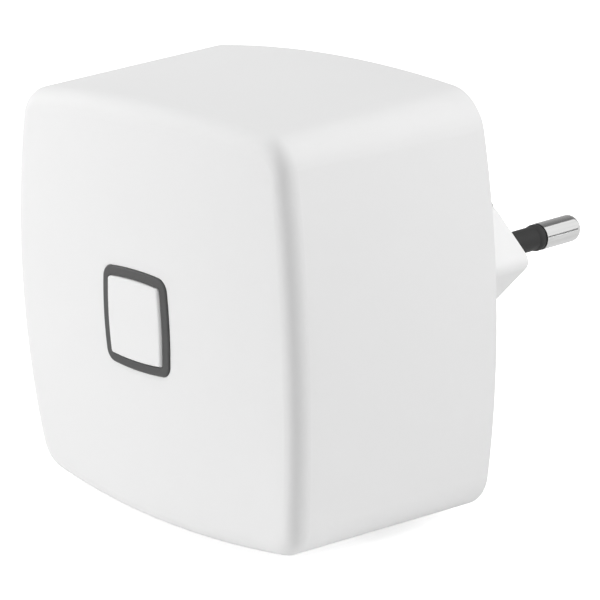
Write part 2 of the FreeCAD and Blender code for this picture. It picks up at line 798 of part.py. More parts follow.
def rear_cover():
    # A plate with a locating lip, carrying the hollow hexagonal stem that the pins stand in
    body = new_body("cover")
    fit = "(Sizes.wall + Sizes.cover_gap)"
    lip_depth = "(%s - Sizes.lip_height - %s)" % (COVER_INNER, APEX)
    at_lip = "(%s - tan(Sizes.draft_angle) * %s)" % (fit, lip_depth)
    lip = front_sketch(body, "(%s - Sizes.lip_height)" % COVER_INNER)
    housing_outline(lip, at_lip)
    pad_back(body, lip, "Sizes.lip_height + Sizes.cover_thickness", "Sizes.draft_angle")
    hollow = front_sketch(body, COVER_INNER)
    housing_outline(hollow, "(%s + Sizes.lip_thickness)" % at_lip)
    pocket(body, hollow, past("Sizes.lip_height"), True)
    stem = front_sketch(body, COVER_INNER)
    hexagon(stem, "0")
    pad = pad_back(body, stem, "0 - %s" % COVER_INNER)
    ridges = edges_where(pad.Shape, lambda edge: along_y(edge) and edge.BoundBox.YMax > -TOUCH)
    rounded = round_edges(body, pad, ridges, "Sizes.stem_corner_radius")
    end = edges_where(rounded.Shape, lambda edge: edge.BoundBox.YMin > -TOUCH)
    round_edges(body, rounded, end, "Sizes.stem_edge_radius")
    bore = front_sketch(body, COVER_INNER)
    hexagon(bore, "Sizes.stem_wall")
    pocket(body, bore, "0 - %s - Sizes.stem_end_wall" % COVER_INNER)
    additions = catch_blocks("catch", "0", fit, "Sizes.lip_thickness / 2")
    for sign_x, sign_z in mirrored_signs():
        x, z = signed(sign_x, POST[0]), signed(sign_z, POST[1])
        length = "Sizes.solder_gap + Sizes.cover_thickness / 2"
        additions.append(rod("stand", "Y", (x, POWER_BACK, z), "Sizes.post_radius", length))
        start = "%s - Sizes.peg_length" % POWER_FRONT
        length = "%s - (%s)" % (COVER_INNER, start)
        additions.append(rod("peg", "Y", (x, start, z), "Sizes.peg_radius", length))
    holes = []
    for sign in (1, -1):
        start = "0 - 2 * Sizes.stem_end_wall"
        radius = "Sizes.sleeve_radius + Sizes.pin_hole_gap"
        hole = rod("pin_hole", "Y", ("0", start, "0"), radius, "3 * Sizes.stem_end_wall")
        shifted = grouped("pin_hole_place", [hole])
        pin_place(shifted, sign)
        holes.append(shifted)
    blank = fused("cover_body", [body] + additions)
    return finish(cut("cover_with_holes", blank, holes), "rear_cover")


# Plug pins


def pin_profile():
    # The metal from its tail inside the stem, past the head, to the rounded end
    seat = "(0 - Sizes.stem_end_wall - Sizes.pin_head_gap)"
    head = "(%s - Sizes.pin_head_thickness)" % seat
    tail = "(%s - Sizes.pin_tail_length)" % head
    shoulder = "(Sizes.pin_length - Sizes.pin_metal_length)"
    return [
        ("0", tail),
        ("Sizes.pin_tail_radius", tail),
        ("Sizes.pin_tail_radius", head),
        ("Sizes.pin_head_radius", head),
        ("Sizes.pin_head_radius", seat),
        ("Sizes.pin_core_radius", seat),
        ("Sizes.pin_core_radius", shoulder),
        ("Sizes.pin_radius", shoulder),
        ("Sizes.pin_radius", "Sizes.pin_length"),
        ("0", "Sizes.pin_length"),
    ]


def sleeve_profile():
    bore = "(Sizes.pin_core_radius + Sizes.pin_gap)"
    end = "(Sizes.pin_length - Sizes.pin_metal_length - Sizes.pin_gap)"
    collar = "(%s - Sizes.collar_length)" % end
    foot = "(0 - Sizes.stem_end_wall)"
    rise = "Sizes.collar_rise"
    swelling = "((Sizes.collar_length / 2)^2 + %s^2) / 2 / %s" % (rise, rise)
    corners = [
        (bore, foot),
        ("Sizes.sleeve_radius", foot),
        ("Sizes.sleeve_radius", collar),
        ("Sizes.sleeve_radius", end),
        (bore, end),
    ]
    return corners, {2: swelling}


def plug_pins():
    for side, sign in (("right", 1), ("left", -1)):
        pin = turned("pin", pin_profile())
        tip = value("Sizes.pin_length")
        rim = edges_where(pin.Tip.Shape, lambda edge: edge.BoundBox.YMin > tip - TOUCH)
        round_edges(pin, pin.Tip, rim, "Sizes.pin_end_radius")
        pin_place(pin, sign)
        finish(pin, "pin_" + side)
        sleeve = turned("sleeve", *sleeve_profile())
        pin_place(sleeve, sign)
        finish(sleeve, "pin_sleeve_" + side)


def contact_strips():
    # Each is a plate under a pin's head and a leg that runs to the power board
    plate_end = "(0 - Sizes.stem_end_wall - Sizes.pin_head_gap - Sizes.pin_head_thickness)"
    plate_back = "(%s - Sizes.strip_gap)" % plate_end
    plate_front = "(%s - Sizes.strip_thickness)" % plate_back
    for side, sign in (("right", 1), ("left", -1)):
        middle = signed(sign, "Sizes.pin_base_spacing / 2")
        plate = centred_block(
            "plate", middle, "0", "Sizes.strip_plate", "Sizes.strip_plate", plate_front,
            "Sizes.strip_thickness",
        )
        outer = "(Sizes.pin_base_spacing / 2 + Sizes.strip_plate / 2 - Sizes.strip_thickness / 2)"
        leg = centred_block(
            "leg", signed(sign, outer), "0", "Sizes.strip_thickness", "Sizes.strip_width", POWER_BACK,
            "%s - %s" % (plate_back, POWER_BACK),
        )
        radius = "Sizes.pin_tail_radius + Sizes.strip_gap * 2"
        depth = past("Sizes.strip_thickness", 2)
        hole = rod("tail_hole", "Y", (middle, ahead(plate_front), "0"), radius, depth)
        strip = cut("strip", fused("strip_body", [plate, leg]), [hole])
        finish(strip, "contact_strip_" + side)


# Light ring, push button and what they work on


RING_INNER = "Sizes.ring_band"
RING_APEX = "(%s - Sizes.ring_rise)" % APEX
FLANGE_HALF = "(Sizes.ring_width / 2 + Sizes.ring_flange_width)"
FLANGE_FRONT = "(%s + Sizes.front_wall + %s + Sizes.seat_gap)" % (
    APEX,
    crown_drop(FLANGE_HALF, FLANGE_HALF),
)
FLANGE_BACK = "(%s + Sizes.ring_flange_thickness)" % FLANGE_FRONT
BUTTON_FLANGE = "(%s + Sizes.button_play)" % FLANGE_BACK
BUTTON_BACK = "(%s + Sizes.button_flange_thickness)" % BUTTON_FLANGE
SWITCH_FRONT = "(%s - Sizes.switch_height)" % BOARD_FRONT
PLUNGER_FRONT = "(%s - Sizes.plunger_rise)" % SWITCH_FRONT


def light_ring():
    body = new_body("ring")
    start = "(%s - Sizes.cutter_margin / 2)" % APEX
    band = front_sketch(body, start)
    ring_outline(band, "0")
    pad_back(body, band, "%s - %s" % (FLANGE_BACK, start))
    crown_cut(
        body,
        RING_APEX,
        "(Sizes.crown_radius_x + Sizes.ring_rise)",
        "(Sizes.crown_radius_z + Sizes.ring_rise)",
    )
    round_edges(body, body.Tip, front_face_edges(body.Tip.Shape), "Sizes.ring_edge_radius")
    flange = front_sketch(body, FLANGE_FRONT)
    ring_outline(flange, "(0 - Sizes.ring_flange_width)")
    pad_back(body, flange, "Sizes.ring_flange_thickness")
    opening = front_sketch(body, start)
    ring_outline(opening, RING_INNER)
    pocket(body, opening, past("%s - %s" % (FLANGE_BACK, start)))
    return finish(body, "light_ring")


def push_button():
    # A square cap that fills the ring, with a flange that keeps it in and a stem to the switch
    body = new_body("button")
    start = "(%s - Sizes.cutter_margin / 2)" % APEX
    inset = "(%s + Sizes.button_gap)" % RING_INNER
    cap = front_sketch(body, start)
    ring_outline(cap, inset)
    pad_back(body, cap, "%s - %s" % (BUTTON_BACK, start))
    crown_cut(
        body,
        "(%s - Sizes.button_rise)" % RING_APEX,
        "(Sizes.crown_radius_x + Sizes.ring_rise + Sizes.button_rise)",
        "(Sizes.crown_radius_z + Sizes.ring_rise + Sizes.button_rise)",
    )
    crown = body.Tip
    round_edges(body, crown, front_face_edges(crown.Shape), "Sizes.button_edge_radius")
    flange = front_sketch(body, BUTTON_FLANGE)
    ring_outline(flange, "(%s - Sizes.button_flange_width)" % inset)
    pad_back(body, flange, "Sizes.button_flange_thickness")
    stem = front_sketch(body, BUTTON_BACK)
    circle(stem, "0", "0", "Sizes.button_stem_radius")
    pad_back(body, stem, "%s - %s" % (PLUNGER_FRONT, BUTTON_BACK))
    return finish(body, "push_button")


def button_switch():
    width = "Sizes.switch_width"
    case = centred_block("case", "0", "0", width, width, SWITCH_FRONT, "Sizes.switch_height")
    radius = "Sizes.plunger_radius + Sizes.plunger_gap"
    depth = "(Sizes.plunger_insert + Sizes.button_travel + Sizes.plunger_gap)"
    well = rod("well", "Y", ("0", ahead(SWITCH_FRONT), "0"), radius, past(depth))
    corners = []
    for sign_x, sign_z in mirrored_signs():
        x, z = signed(sign_x, width + " / 2"), signed(sign_z, width + " / 2")
        corner = "2 * Sizes.switch_corner"
        corners.append(
            centred_block("nick", x, z, corner, corner, SWITCH_FRONT, "Sizes.switch_height / 2")
        )
    finish(cut("switch", case, [well] + corners), "button_switch")
    length = "Sizes.plunger_rise + Sizes.plunger_insert"
    plunger = rod("plunger", "Y", ("0", PLUNGER_FRONT, "0"), "Sizes.plunger_radius", length)
    return finish(plunger, "switch_plunger")


def light_guide():
    # A clear frame behind the ring, standing on four corner legs between the lamps
    body = new_body("guide")
    sketch = front_sketch(body, FLANGE_BACK)
    rectangle(sketch, "0", "0", "2 * " + FLANGE_HALF, "2 * " + FLANGE_HALF)
    hollow = "(2 * (%s - Sizes.guide_wall))" % FLANGE_HALF
    rectangle(sketch, "0", "0", hollow, hollow)
    pad_back(body, sketch, "%s - %s" % (BOARD_FRONT, FLANGE_BACK))
    gaps = front_sketch(body, BOARD_FRONT)
    across = past("2 * " + FLANGE_HALF, 2)
    rectangle(gaps, "0", "0", across, hollow)
    pocket(body, gaps, "Sizes.guide_leg_height", True)
    gaps = front_sketch(body, BOARD_FRONT)
    rectangle(gaps, "0", "0", hollow, across)
    pocket(body, gaps, "Sizes.guide_leg_height", True)
    return finish(body, "light_guide")


def lamps():
    # One small lamp at the middle of each side of the guide
    out = "(%s - Sizes.guide_wall / 2)" % FLANGE_HALF
    spots = {
        "lamp_right": (out, "0"),
        "lamp_left": ("(0 - %s)" % out, "0"),
        "lamp_top": ("0", out),
        "lamp_bottom": ("0", "(0 - %s)" % out),
    }
    size = "Sizes.lamp_width"
    y = "%s - Sizes.lamp_height" % BOARD_FRONT
    for label, (x, z) in spots.items():
        finish(centred_block("lamp", x, z, size, size, y, "Sizes.lamp_height"), label)


# Main board and what it carries


def main_board():
    corner_cuts, holes, screws = [], [], []
    for sign_x, sign_z in mirrored_signs():
        x, z = signed(sign_x, BOARD_HALF_X), signed(sign_z, BOARD_HALF_Z)
        size, y = "2 * Sizes.board_notch", ahead(BOARD_FRONT)
        through = past("Sizes.board_thickness", 2)
        corner_cuts.append(centred_block("notch", x, z, size, size, y, through))
        x, z = signed(sign_x, BOSS[0]), signed(sign_z, BOSS[1])
        radius = "Sizes.screw_radius + 2 * Sizes.screw_gap"
        holes.append(rod("screw_hole", "Y", (x, y, z), radius, through))
        screws.append(board_screw(x, z))
    width, height = "2 * " + BOARD_HALF_X, "2 * " + BOARD_HALF_Z
    plate = centred_block("plate", "0", "0", width, height, BOARD_FRONT, "Sizes.board_thickness")
    finish(cut("drilled_board", plate, corner_cuts + holes), "main_board")
    finish(grouped("screws", screws), "board_screws")


def board_screw(x, z):
    length = "Sizes.screw_length"
    start = "%s - %s" % (BOARD_BACK, length)
    shank = rod("shank", "Y", (x, start, z), "Sizes.screw_radius", length)
    height = "Sizes.screw_head_height"
    head = rod("head", "Y", (x, BOARD_BACK, z), "Sizes.screw_head_radius", height)
    return fused("screw", [shank, head])


def at(name):
    return "(Sizes.%s_x * %s)" % (name, SCALE_X), "(Sizes.%s_z * %s)" % (name, SCALE_Z)


def extent(name):
    scales = {"width": SCALE_X, "length": SCALE_Z, "height": SCALE_Y}
    return tuple("(Sizes.%s_%s * %s)" % (name, key, scale) for key, scale in scales.items())


def placed_block(name, y):
    x, z = at(name)
    width, length, height = extent(name)
    return centred_block("component", x, z, width, length, y, height)


def chip_with_legs(name, board_y, side, legs):
    # A moulded case with a row of flat legs along its two sides; side is 1 on the main board
    x, z = at(name)
    width, length, height = extent(name)
    lift = "Sizes.leg_thickness"
    low = "%s + %s" % (board_y, lift) if side > 0 else "%s - %s" % (board_y, height)
    case_height = "%s - %s" % (height, lift)
    pieces = [centred_block("chip_case", x, z, width, length, low, case_height)]
    thick = "Sizes.leg_foot_height"
    foot = board_y if side > 0 else "%s - %s" % (board_y, thick)
    reach = "(%s + 2 * Sizes.leg_length)" % width
    for number in range(legs):
        leg_z = "(%s + %s * (%d + 0.5 - %d / 2) / %d)" % (z, length, number, legs, legs)
        pieces.append(centred_block("leg", x, leg_z, reach, "Sizes.leg_width", foot, thick))
    return finish(fused("chip", pieces), name)


def heat_sink():
    # The processor, its soft pad and a finned block on top
    finish(placed_block("soc_chip", BOARD_BACK), "soc_chip")
    x, z = at("soc_chip")
    width, length, height = extent("soc_chip")
    chip_top = "(%s + %s)" % (BOARD_BACK, height)
    pad = centred_block("pad", x, z, width, length, chip_top, "Sizes.pad_thickness")
    finish(pad, "thermal_pad")
    base = "(%s + Sizes.pad_thickness)" % chip_top
    x, z = at("heat_sink")
    width, length, height = extent("heat_sink")
    solid = centred_block("sink", x, z, width, length, base, height)
    gaps = []
    pitch = "((%s - Sizes.fin_thickness) / %d)" % (width, FIN_COUNT - 1)
    for number in range(FIN_COUNT - 1):
        middle = "(%s + %s * (%d + 0.5 - %d / 2))" % (x, pitch, number, FIN_COUNT - 1)
        y = "(%s + %s - Sizes.fin_height)" % (base, height)
        slot = "(%s - Sizes.fin_thickness)" % pitch
        deep = past("Sizes.fin_height")
        gaps.append(centred_block("fin_gap", middle, z, slot, past(length, 2), y, deep))
    return finish(cut("finned", solid, gaps), "heat_sink")


def antennas():
    # Upright boards along both sides, each with a stepped notch at its foot
    for side, sign in (("right", 1), ("left", -1)):
        x = signed(sign, "(Sizes.antenna_x * %s)" % SCALE_X)
        thickness, length = "Sizes.antenna_thickness", "Sizes.antenna_length"
        plate = centred_block("aerial", x, "0", thickness, length, BOARD_BACK, "Sizes.antenna_depth")
        notches = []
        for end in (1, -1):
            z = signed(end, "Sizes.antenna_length / 2")
            size = "2 * Sizes.antenna_notch"
            y = "%s + Sizes.antenna_depth / 2" % BOARD_BACK
            across = past(thickness, 2)
            notches.append(centred_block("step", x, z, across, size, y, "Sizes.antenna_depth"))
        finish(cut("aerial_cut", plate, notches), "antenna_" + side)


def network_socket():
    # A sheet-metal shell round a moulded insert, mouth down, with eight sprung contacts
    mouth, below = JACK_MOUTH, ahead(JACK_MOUTH)
    y = BOARD_BACK
    shell = block(
        "jack", ("0 - Sizes.jack_width / 2", y, mouth),
        ("Sizes.jack_width", "Sizes.jack_height", "Sizes.jack_length"),
    )
    inner = block(
        "jack_inner", ("0 - Sizes.jack_width / 2 + Sizes.jack_sheet", ahead(y), below),
        (
            "Sizes.jack_width - 2 * Sizes.jack_sheet",
            past("Sizes.jack_height - Sizes.jack_sheet"),
            past("Sizes.jack_length - Sizes.jack_sheet"),
        ),
    )
    finish(cut("jack_shell", shell, [inner]), "socket_shield")
    inset = "(Sizes.jack_sheet + Sizes.jack_fit)"
    low = ("0 - Sizes.jack_width / 2 + " + inset, y, mouth)
    size = (
        "Sizes.jack_width - 2 * " + inset,
        "Sizes.jack_height - " + inset,
        "Sizes.jack_length - " + inset,
    )
    insert = block("insert", low, size)
    port_y = "(%s + Sizes.port_floor + Sizes.latch_height)" % y
    depth = past("Sizes.port_depth")
    port = block(
        "port", ("0 - Sizes.port_width / 2", port_y, below),
        ("Sizes.port_width", "Sizes.port_height", depth),
    )
    latch = block(
        "latch", ("0 - Sizes.latch_width / 2", "%s - Sizes.latch_height" % port_y, below),
        ("Sizes.latch_width", past("Sizes.latch_height"), depth),
    )
    finish(cut("insert_cut", insert, [port, latch]), "socket_insert")
    ceiling = "(%s + Sizes.port_height)" % port_y
    wires = []
    for number in range(CONTACT_COUNT):
        wire = document.addObject("Part::Box", "wire")
        wire.setExpression("Length", "Sizes.contact_width")
        wire.setExpression("Width", "Sizes.contact_thickness")
        wire.setExpression("Height", "Sizes.contact_length")
        wire.Placement = FreeCAD.Placement(
            FreeCAD.Vector(), FreeCAD.Rotation(FreeCAD.Vector(1, 0, 0), 1)
        )
        offset = "(%d + 0.5 - %d / 2)" % (number, CONTACT_COUNT)
        x = "%s * Sizes.contact_spacing - Sizes.contact_width / 2" % offset
        y = "%s - Sizes.contact_thickness / cos(Sizes.contact_angle)" % ceiling
        place(wire, x, y, mouth + " + Sizes.contact_inset")
        wire.setExpression("Placement.Rotation.Angle", "Sizes.contact_angle")
        wires.append(wire)
    return finish(grouped("wires", wires), "socket_contacts")


def reset_switch():
    x = "Sizes.reset_x"
    bottom = "(Sizes.reset_edge - %s)" % BOARD_HALF_Z
    width, height, length = "Sizes.reset_width", "Sizes.reset_height", "Sizes.reset_length"
    low = ("%s - %s / 2" % (x, width), BOARD_BACK, bottom)
    case = block("reset_case", low, (width, height, length))
    y = "(%s + %s / 2)" % (BOARD_BACK, height)
    radius = "Sizes.reset_plunger_radius + Sizes.plunger_gap"
    depth = "(Sizes.reset_plunger_insert + Sizes.reset_travel + Sizes.plunger_gap)"
    well = rod("reset_well", "Z", (x, y, ahead(bottom)), radius, past(depth))
    finish(cut("reset_body", case, [well]), "reset_switch")
    start = "%s - Sizes.reset_plunger_rise" % bottom
    length = "Sizes.reset_plunger_rise + Sizes.reset_plunger_insert"
    plunger = rod("reset_rod", "Z", (x, y, start), "Sizes.reset_plunger_radius", length)
    return finish(plunger, "reset_plunger")


def header():
    # Four straight pins between the boards, in a low base on one and a tall socket on the other
    span = "%s - %s" % (POWER_FRONT, BOARD_BACK)
    width = "(%d * Sizes.header_spacing)" % HEADER_COUNT
    base_y = "%s - Sizes.header_body_height" % POWER_FRONT
    deep = "Sizes.header_body_width"
    z = "(Sizes.header_z * %s)" % SCALE_Z
    base = centred_block("base", "0", z, width, deep, base_y, "Sizes.header_body_height")
    socket = centred_block("socket", "0", z, width, deep, BOARD_BACK, "Sizes.header_socket_height")
    pins, base_holes, socket_holes = [], [], []
    hole = "Sizes.header_pin_width + 2 * Sizes.header_gap"
    for number in range(HEADER_COUNT):
        x = "((%d + 0.5 - %d / 2) * Sizes.header_spacing)" % (number, HEADER_COUNT)
        pin = "Sizes.header_pin_width"
        pins.append(centred_block("header_pin", x, z, pin, pin, BOARD_BACK, span))
        through = past(span, 2)
        for holes in (base_holes, socket_holes):
            holes.append(centred_block("pin_way", x, z, hole, hole, ahead(BOARD_BACK), through))
    finish(grouped("header_pins_group", pins), "header_pins")
    finish(cut("base_cut", base, base_holes), "header_base")
    return finish(cut("socket_cut", socket, socket_holes), "header_socket")


# Power board and what it carries


def power_board():
    body = new_body("power")
    sketch = front_sketch(body, POWER_FRONT)
    x, z = POWER_HALF_X, POWER_HALF_Z
    step = "Sizes.power_board_chamfer"
    corners = []
    for sign_x, sign_z in ((1, 1), (-1, 1), (-1, -1), (1, -1)):
        near_x = signed(sign_x, "(%s - %s)" % (x, step)), signed(sign_z, z)
        near_z = signed(sign_x, x), signed(sign_z, "(%s - %s)" % (z, step))
        corners += [near_z, near_x] if sign_x * sign_z > 0 else [near_x, near_z]
    polygon(sketch, corners)
    for sign_x, sign_z in mirrored_signs():
        x, z = signed(sign_x, POST[0]), signed(sign_z, POST[1])
        circle(sketch, x, z, "Sizes.peg_radius + Sizes.peg_gap")
    pad_back(body, sketch, "Sizes.power_board_thickness")
    return finish(body, "power_board")


def transformer():
    # A ferrite frame with a middle leg, a flanged bobbin on the leg and a winding between
    name = "power_transformer"
    x, z = at(name)
    width, length, height = extent(name)
    middle = "(%s - %s / 2)" % (POWER_FRONT, height)
    core_y = "(%s - Sizes.core_thickness / 2)" % middle
    thick = "Sizes.core_thickness"
    frame = centred_block("core", x, z, width, length, core_y, thick)
    window_length = "(%s - 2 * Sizes.core_end)" % length
    windows = []
    for sign in (1, -1):
        out = "(%s / 2 - Sizes.core_side - Sizes.core_window_x / 2)" % width
        middle_x = "(%s + %s)" % (x, signed(sign, out))
        wide, y, through = "Sizes.core_window_x", ahead(core_y), past(thick, 2)
        windows.append(centred_block("window", middle_x, z, wide, window_length, y, through))
    finish(cut("core_cut", frame, windows), "transformer_core")
    leg = "(%s - 2 * Sizes.core_side - 2 * Sizes.core_window_x)" % width
    gap = "Sizes.winding_gap"
    sleeve = "(%s + 2 * %s)" % (leg, gap)
    sleeve_y = "(%s - %s)" % (core_y, gap)
    sleeve_height = "(%s + 2 * %s)" % (thick, gap)
    spool_length = "(%s - 2 * %s)" % (window_length, gap)
    outer = "(%s + 2 * Sizes.core_window_x - 2 * %s)" % (leg, gap)
    wall = "Sizes.bobbin_wall"
    tube_width = "(%s + 2 * %s)" % (sleeve, wall)
    tube_y = "(%s - %s)" % (sleeve_y, wall)
    tube_height = "(%s + 2 * %s)" % (sleeve_height, wall)
    pieces = [centred_block("tube", x, z, tube_width, spool_length, tube_y, tube_height)]
    low_y = "(%s - %s)" % (POWER_FRONT, height)
    for sign in (1, -1):
        offset = "(%s / 2 - Sizes.bobbin_flange / 2)" % spool_length
        flange_z = "(%s + %s)" % (z, signed(sign, offset))
        flange = "Sizes.bobbin_flange"
        pieces.append(centred_block("flange", x, flange_z, outer, flange, low_y, height))
    way = centred_block("leg_way", x, z, sleeve, length, sleeve_y, sleeve_height)
    finish(cut("bobbin", fused("bobbin_blank", pieces), [way]), "transformer_bobbin")
    copper_length = "(%s - 2 * Sizes.bobbin_flange)" % spool_length
    copper_width = "(%s - %s)" % (outer, wall)
    copper_y = "(%s + %s)" % (low_y, wall)
    deep = "(%s - 2 * %s)" % (height, wall)
    copper = centred_block("copper", x, z, copper_width, copper_length, copper_y, deep)
    tube_way = centred_block("tube_way", x, z, tube_width, length, tube_y, tube_height)
    return finish(cut("winding", copper, [tube_way]), "transformer_winding")


def bevelled_profile(radius, top):
    bevel = "Sizes.component_bevel"
    return [
        ("0", top),
        ("%s - %s" % (radius, bevel), top),
        (radius, "%s + %s" % (top, bevel)),
        (radius, "0"),
        ("0", "0"),
    ]


def drum_profile(radius, top):
    waist, rim = "(%s - Sizes.drum_waist)" % radius, "Sizes.drum_rim"
    return [
        ("0", top),
        (radius, top),
        (radius, "%s + %s" % (top, rim)),
        (waist, "%s + %s" % (top, rim)),
        (waist, "0 - " + rim),
        (radius, "0 - " + rim),
        (radius, "0"),
        ("0", "0"),
    ]


def round_component(name, profile):
    # Stands on the power board and rises towards the front
    x, z = at(name)
    radius = "(Sizes.%s_radius * %s)" % (name, SCALE_ROUND)
    top = "(0 - Sizes.%s_height * %s)" % (name, SCALE_Y)
    body = turned("round_component", profile(radius, top))
    place(body, x, POWER_FRONT, z)
    return finish(body, name)


def disc_component(name, z):
    # A coated disc on edge, on two short wire legs
    x, thickness = "(Sizes.%s_x * %s)" % (name, SCALE_X), "Sizes.%s_thickness" % name
    height = "(Sizes.%s_height * %s)" % (name, SCALE_Y)
    radius = "((%s - Sizes.disc_lift) / 2)" % height
    middle_y = "(%s - %s + %s)" % (POWER_FRONT, height, radius)
    low_z = "%s - %s / 2" % (z, thickness)
    pieces = [rod("disc", "Z", (x, middle_y, low_z), radius, thickness)]
    for sign in (1, -1):
        leg_x = "(%s + %s)" % (x, signed(sign, "Sizes.disc_leg_spacing / 2"))
        down = "%s - %s" % (POWER_FRONT, middle_y)
        pieces.append(rod("wire_leg", "Y", (leg_x, middle_y, z), "Sizes.disc_leg_radius", down))
    return finish(fused("disc_with_legs", pieces), name)


def insulating_film():
    # Lies on the transformer, between the boards
    front = "(%s - %s)" % (POWER_FRONT, extent("power_transformer")[2])
    top, bottom = "(Sizes.film_top * %s)" % SCALE_Z, "(%s + Sizes.jack_clearance)" % JACK_TOP
    width, height = "Sizes.film_width * %s" % SCALE_X, "(%s - %s)" % (top, bottom)
    y, thickness = "%s - Sizes.film_thickness" % front, "Sizes.film_thickness"
    film = centred_block("film", "0", "(%s + %s) / 2" % (top, bottom), width, height, y, thickness)
    return finish(film, "insulating_film")


def export_all():
    document.recompute()
    for item in document.Objects:
        if "Invalid" in item.State or "Error" in item.State:
            raise RuntimeError("%s failed: %s" % (item.Name, item.State))
    for piece in finished:
        shape = piece.Shape
        if shape.isNull() or not shape.isValid() or not shape.Solids:
            raise RuntimeError("%s has no valid solid" % piece.Label)
    os.makedirs("parts", exist_ok=True)
    for piece in finished:
        piece.Shape.exportStep("parts/%s.step" % piece.Label)
    print(len(finished), "pieces")


front_housing()
rear_cover()
plug_pins()
contact_strips()
light_ring()
push_button()
button_switch()
light_guide()
lamps()
main_board()
heat_sink()
finish(placed_block("rf_shield", BOARD_BACK), "rf_shield")
chip_with_legs("flash_chip", BOARD_BACK, 1, CHIP_LEGS)
finish(placed_block("crystal", BOARD_BACK), "crystal")
chip_with_legs("network_transformer", BOARD_BACK, 1, TRANSFORMER_LEGS)
antennas()
network_socket()
reset_switch()
header()
power_board()
transformer()
for can in ("bulk_capacitor_upper", "bulk_capacitor_lower", "output_capacitor"):
    round_component(can, bevelled_profile)
round_component("input_choke", drum_profile)
round_component("fuse_resistor", bevelled_profile)
for chip in ("bridge_rectifier", "power_controller", "optocoupler"):
    chip_with_legs(chip, POWER_FRONT, -1, CHIP_LEGS)
diode_front = "%s - %s" % (POWER_FRONT, extent("output_diode")[2])
finish(placed_block("output_diode", diode_front), "output_diode")
disc_component("varistor", "(Sizes.varistor_z * %s)" % SCALE_Z)
over_socket = "(%s + Sizes.jack_clearance + Sizes.suppression_capacitor_thickness / 2)" % JACK_TOP
disc_component("suppression_capacitor", over_socket)
insulating_film()
export_all()
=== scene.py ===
import json
import math

import bmesh
import bpy
from mathutils import Matrix, Vector

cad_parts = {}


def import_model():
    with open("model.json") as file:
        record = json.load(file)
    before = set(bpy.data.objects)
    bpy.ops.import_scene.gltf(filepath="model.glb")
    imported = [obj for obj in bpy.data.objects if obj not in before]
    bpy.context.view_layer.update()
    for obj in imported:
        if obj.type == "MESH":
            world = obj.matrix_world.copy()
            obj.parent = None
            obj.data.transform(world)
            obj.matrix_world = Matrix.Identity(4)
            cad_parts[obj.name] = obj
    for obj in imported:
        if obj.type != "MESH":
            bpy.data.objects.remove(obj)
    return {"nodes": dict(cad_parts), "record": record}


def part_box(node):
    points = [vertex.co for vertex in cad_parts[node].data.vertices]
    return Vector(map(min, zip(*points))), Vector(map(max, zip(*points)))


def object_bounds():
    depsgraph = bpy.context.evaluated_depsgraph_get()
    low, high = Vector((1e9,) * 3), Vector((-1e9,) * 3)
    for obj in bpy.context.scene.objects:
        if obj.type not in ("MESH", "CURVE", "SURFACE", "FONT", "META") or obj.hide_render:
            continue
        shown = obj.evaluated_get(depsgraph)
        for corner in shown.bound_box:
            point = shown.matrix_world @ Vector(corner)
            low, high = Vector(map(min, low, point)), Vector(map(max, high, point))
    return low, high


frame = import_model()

# Wall-plug wireless repeater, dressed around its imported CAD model. Metres, in the CAD's frame:
# the plug's end face is at the origin, the front looks along -Y and +Z is up.

CAD_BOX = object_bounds()
NODES = frame["nodes"]
MILLIMETRE = 0.001

# The camera, as the photograph's outline gives it: angles in degrees, lengths in millimetres
CAMERA_AZIMUTH = 49.1769
CAMERA_ELEVATION = 15.8668
CAMERA_ROLL = -1.8395
CAMERA_ACROSS = 21.5146
CAMERA_UP = 2.7191
CAMERA_BACK = 322.6697
FRONT_APEX_Y = -56.1
FOCAL_PIXELS = 2460.53
IMAGE_PIXELS = 600
SENSOR_MM = 36.0

# The nearest and the farthest thing it sees, in metres
NEAREST = 0.02
FARTHEST = 10

# Studio: where lamps stand (azimuth and elevation in degrees from the object, and metres), how wide
# they are in metres, and their watts. Azimuth 0 is in front of the object and 90 is on its right.
LAMPS = {
    "front_lamp": (-45, 6, 0.9, 0.3, 5.4),
    "back_lamp": (135, 25, 0.9, 0.4, 2.35),
    "near_lamp": (130, 12, 0.35, 0.2, 0.21),
    "top_lamp": (60, 78, 0.9, 0.8, 5.25),
}

# Cards that show in gloss, for the streaks in the metal: azimuth, elevation, distance, width,
# height, and their grey below and above
CARDS = {
    "high_card": (210, 24, 0.12, 0.116, 0.128, 0.62, 0.15),
    "low_card": (130, -3, 0.17, 0.12, 0.018, 0.2, 0.2),
}

# How bright the world is for soft light
WORLD_LEVEL = 0.2

# The floor: its width in metres, its grey, and how much that varies. For the camera it glows by
# FLOOR_LIFT out to FLOOR_NEAR metres, and more from there to white at FLOOR_FAR. For soft light, as
# on the underside of the object, it glows by FLOOR_GLOW.
FLOOR_WIDTH = 3.2
FLOOR_COLOUR = 0.82
FLOOR_VARIES = 0.01
FLOOR_LIFT = 0.66
FLOOR_NEAR = 0.15
FLOOR_FAR = 0.7
FLOOR_GLOW = 0.15

# How fine the textures are, in cells per metre
CLOUD = 90
PAPER = 60
GLOSS = 700
GRAIN = 5200
STREAK = 2600
WEAVE = 1800
MASK_GLOSS = 500
MASK_GRAIN = 1500
CLEAR_GLOSS = 900
CLEAR_GRAIN = 700

# How deep their grain is, in metres
GRAIN_DEPTH = 6e-6
STREAK_DEPTH = 1.5e-6
MASK_DEPTH = 4e-6
CLEAR_DEPTH = 3e-6

# How roughness varies: up and down from a moulding's, times a metal's, and from one value to the
# other for solder mask and clear moulding. WEAVE_SHOWS is how much of the weave's colour shows.
MOULDING_VARIES = 0.03
METAL_TIMES = (0.8, 1.25)
MASK_ROUGHNESS = (0.28, 0.4)
CLEAR_ROUGHNESS = (0.05, 0.14)
WEAVE_SHOWS = 0.35

